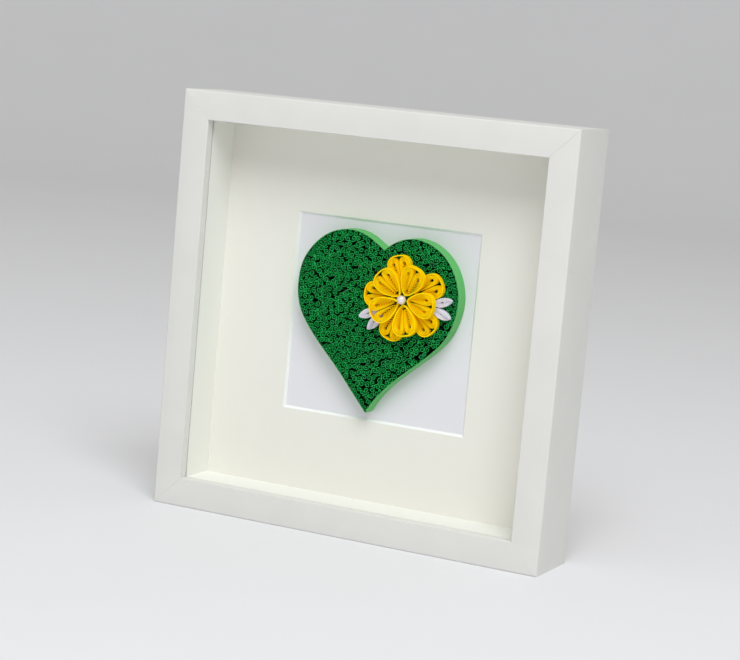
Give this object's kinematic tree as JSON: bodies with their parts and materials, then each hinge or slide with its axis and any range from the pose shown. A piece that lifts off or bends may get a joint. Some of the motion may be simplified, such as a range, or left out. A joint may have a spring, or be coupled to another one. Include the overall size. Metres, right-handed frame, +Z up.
{
  "type": "framed quilled paper art",
  "caption": "Deep white square box frame around a mat with a square window and a quilled green heart that carries a yellow paper flower with a pearl.",
  "frame": {"origin": "middle of the frame underside, on the surface it stands on", "axes": "+Z up, the picture faces -Y, +X to the right of someone who looks at the picture"},
  "size_m": [0.25, 0.045, 0.25],
  "materials": {
    "white_rail": "smooth white foil over fibreboard, satin",
    "white_spacer": "white paper-faced fibreboard, matt",
    "clear_pane": "thin clear pane, polished",
    "mat": "warm off-white mat board, matt",
    "white_card": "cool white card, matt",
    "hardboard": "brown hardboard, matt",
    "steel": "plain zinc-coated steel",
    "light_green_paper": "light green quilling paper, matt",
    "dark_green_paper": "deep green quilling paper, matt",
    "yellow_paper": "golden yellow quilling paper, matt",
    "lilac_paper": "pale lilac-white quilling paper, matt",
    "pearl": "pearl lacquer, soft gloss"
  },
  "bodies": {
    "root": {"backboard": "hardboard", "backing_card": "white_card", "glazing": "clear_pane", "hanger_plate": "steel", "hanger_rivets": "steel", "heart_coils_lower_left": "dark_green_paper", "heart_coils_lower_right": "dark_green_paper", "heart_coils_upper_left": "dark_green_paper", "heart_coils_upper_right": "dark_green_paper", "heart_rim": "light_green_paper", "leaf_1": "lilac_paper", "leaf_2": "lilac_paper", "leaf_3": "lilac_paper", "leaf_4": "lilac_paper", "mat_board": "mat", "pearl": "pearl", "petal_lower_1_coil_left": "yellow_paper", "petal_lower_1_coil_right": "yellow_paper", "petal_lower_1_wrap": "yellow_paper", "petal_lower_2_coil_left": "yellow_paper", "petal_lower_2_coil_right": "yellow_paper", "petal_lower_2_wrap": "yellow_paper", "petal_lower_3_coil_left": "yellow_paper", "petal_lower_3_coil_right": "yellow_paper", "petal_lower_3_wrap": "yellow_paper", "petal_lower_4_coil_left": "yellow_paper", "petal_lower_4_coil_right": "yellow_paper", "petal_lower_4_wrap": "yellow_paper", "petal_lower_5_coil_left": "yellow_paper", "petal_lower_5_coil_right": "yellow_paper", "petal_lower_5_wrap": "yellow_paper", "petal_upper_1_coil_left": "yellow_paper", "petal_upper_1_coil_right": "yellow_paper", "petal_upper_1_wrap": "yellow_paper", "petal_upper_2_coil_left": "yellow_paper", "petal_upper_2_coil_right": "yellow_paper", "petal_upper_2_wrap": "yellow_paper", "petal_upper_3_coil_left": "yellow_paper", "petal_upper_3_coil_right": "yellow_paper", "petal_upper_3_wrap": "yellow_paper", "petal_upper_4_coil_left": "yellow_paper", "petal_upper_4_coil_right": "yellow_paper", "petal_upper_4_wrap": "yellow_paper", "petal_upper_5_coil_left": "yellow_paper", "petal_upper_5_coil_right": "yellow_paper", "petal_upper_5_wrap": "yellow_paper", "rail_bottom": "white_rail", "rail_left": "white_rail", "rail_right": "white_rail", "rail_top": "white_rail", "retaining_tabs": "steel", "spacer_bottom": "white_spacer", "spacer_left": "white_spacer", "spacer_right": "white_spacer", "spacer_top": "white_spacer"}
  },
  "joints": []
}
